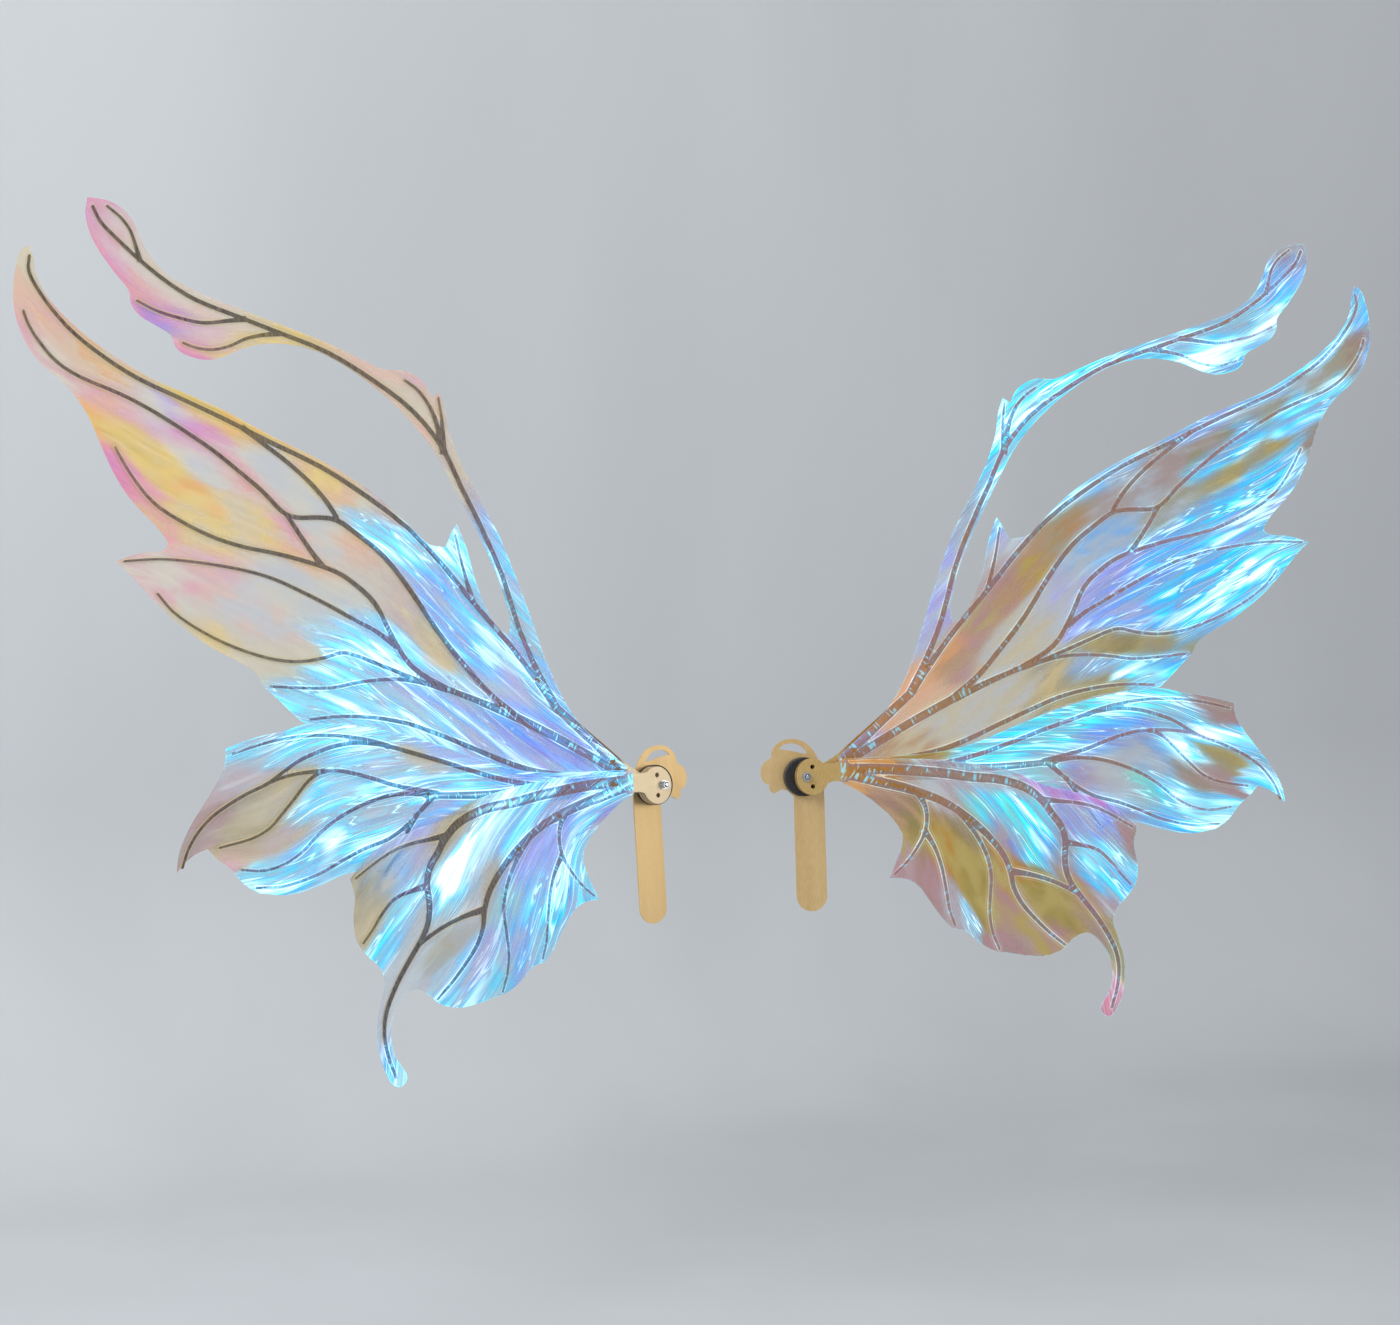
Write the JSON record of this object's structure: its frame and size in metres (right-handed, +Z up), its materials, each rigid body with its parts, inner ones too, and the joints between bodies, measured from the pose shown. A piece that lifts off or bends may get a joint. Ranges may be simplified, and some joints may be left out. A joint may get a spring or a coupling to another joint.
{
  "type": "fairy wings",
  "caption": "Wearable fairy wings: two fans of veined iridescent film panels, each turning on a pivot screw over a hub and a back plate.",
  "frame": {"origin": "midway between the two pivot plates, level with the head centres, on the plane through the plates' back faces", "axes": "+X across the back toward the wearer's right, +Y into the wearer, +Z up"},
  "size_m": [1.0646, 0.109, 0.6067],
  "materials": {
    "gold_plate": "satin",
    "gold_sheet": "gold anodised, satin",
    "black_hub": "matte",
    "steel": "bright",
    "dark_insert": "satin",
    "upper_film": "clear iridescent film",
    "middle_film": "clear iridescent film",
    "lower_film": "clear iridescent film"
  },
  "bodies": {
    "mount": {"left_back_plate": "gold_plate", "left_hub": "black_hub", "left_pivot_screw": "steel", "left_washer": "steel", "left_lock_nut": "steel", "left_nut_insert": "dark_insert", "right_back_plate": "gold_plate", "right_hub": "black_hub", "right_pivot_screw": "steel", "right_washer": "steel", "right_lock_nut": "steel", "right_nut_insert": "dark_insert"},
    "left_upper": {"left_upper_skeleton": "gold_sheet", "left_upper_film_back": "upper_film", "left_upper_film_front": "upper_film", "left_upper_spacer": "steel"},
    "left_middle": {"left_middle_skeleton": "gold_sheet", "left_middle_film_back": "middle_film", "left_middle_film_front": "middle_film", "left_middle_spacer": "steel"},
    "left_lower": {"left_lower_skeleton": "gold_sheet", "left_lower_film_back": "lower_film", "left_lower_film_front": "lower_film"},
    "right_upper": {"right_upper_skeleton": "gold_sheet", "right_upper_film_back": "upper_film", "right_upper_film_front": "upper_film", "right_upper_spacer": "steel"},
    "right_middle": {"right_middle_skeleton": "gold_sheet", "right_middle_film_back": "middle_film", "right_middle_film_front": "middle_film", "right_middle_spacer": "steel"},
    "right_lower": {"right_lower_skeleton": "gold_sheet", "right_lower_film_back": "lower_film", "right_lower_film_front": "lower_film"}
  },
  "joints": [
    {"name": "left_upper_fan", "type": "hinge", "parent": "mount", "child": "left_upper", "pos_m": [-0.06074, -0.00814, 0.00075], "axis": [-0.2192, 0.9725, -0.0785], "range_deg": [-40, 20]},
    {"name": "left_middle_fan", "type": "hinge", "parent": "mount", "child": "left_middle", "pos_m": [-0.05999, -0.01145, 0.00101], "axis": [-0.2192, 0.9725, -0.0785], "range_deg": [-30, 25]},
    {"name": "left_lower_fan", "type": "hinge", "parent": "mount", "child": "left_lower", "pos_m": [-0.05925, -0.01475, 0.00128], "axis": [-0.2192, 0.9725, -0.0785], "range_deg": [-25, 35]},
    {"name": "right_upper_fan", "type": "hinge", "parent": "mount", "child": "right_upper", "pos_m": [0.06074, -0.00814, 0.00075], "axis": [-0.2192, -0.9725, 0.0785], "range_deg": [-40, 20]},
    {"name": "right_middle_fan", "type": "hinge", "parent": "mount", "child": "right_middle", "pos_m": [0.05999, -0.01145, 0.00101], "axis": [-0.2192, -0.9725, 0.0785], "range_deg": [-30, 25]},
    {"name": "right_lower_fan", "type": "hinge", "parent": "mount", "child": "right_lower", "pos_m": [0.05925, -0.01475, 0.00128], "axis": [-0.2192, -0.9725, 0.0785], "range_deg": [-25, 35]}
  ]
}
